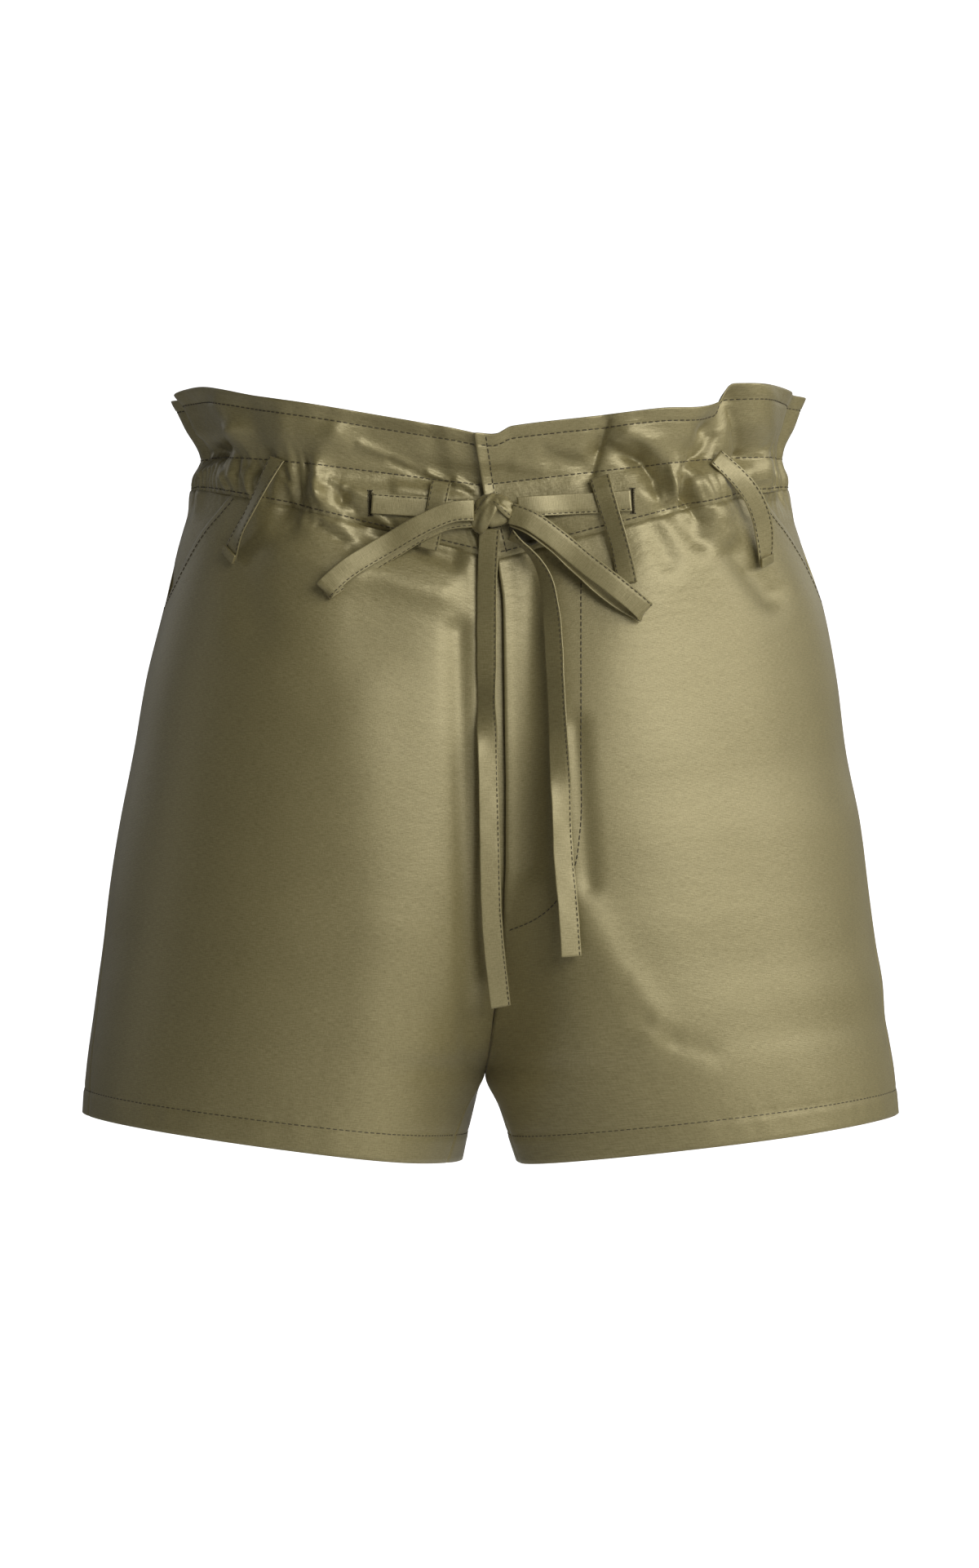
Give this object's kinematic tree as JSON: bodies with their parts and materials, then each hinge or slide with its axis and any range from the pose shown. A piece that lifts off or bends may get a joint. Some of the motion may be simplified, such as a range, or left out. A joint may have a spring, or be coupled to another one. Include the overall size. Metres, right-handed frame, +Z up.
{
  "type": "paper-bag shorts",
  "caption": "High-waisted fabric shorts with a frilled drawstring waist, slanted hip pockets, belt loops, a buttoned fly and a tied sash bow, in hollow worn form",
  "frame": {"origin": "On the wearer's middle line at the height of the tie, inside the gathered waist that the wearer holds up", "axes": "+X towards the wearer's left (the image's right), +Y towards the back, +Z up; the front faces -Y"},
  "size_m": [0.3999, 0.2618, 0.3748],
  "materials": {
    "taffeta": "satin",
    "tie": "satin",
    "button": "semi-matt"
  },
  "bodies": {
    "root": {"front_right": "taffeta", "front_left": "taffeta", "back_right": "taffeta", "back_left": "taffeta", "hip_piece_right": "taffeta", "hip_piece_left": "taffeta", "waist_front_right": "taffeta", "waist_front_left": "taffeta", "waist_back": "taffeta", "belt_loop_right_outer": "taffeta", "belt_loop_right_inner": "taffeta", "belt_loop_left_inner": "taffeta", "belt_loop_left_outer": "taffeta", "tie_right": "tie", "tie_left": "tie", "bow_right": "tie", "bow_left": "tie", "tail_right": "tie", "tail_left": "tie", "tie_knot": "tie", "button": "button"}
  },
  "joints": []
}
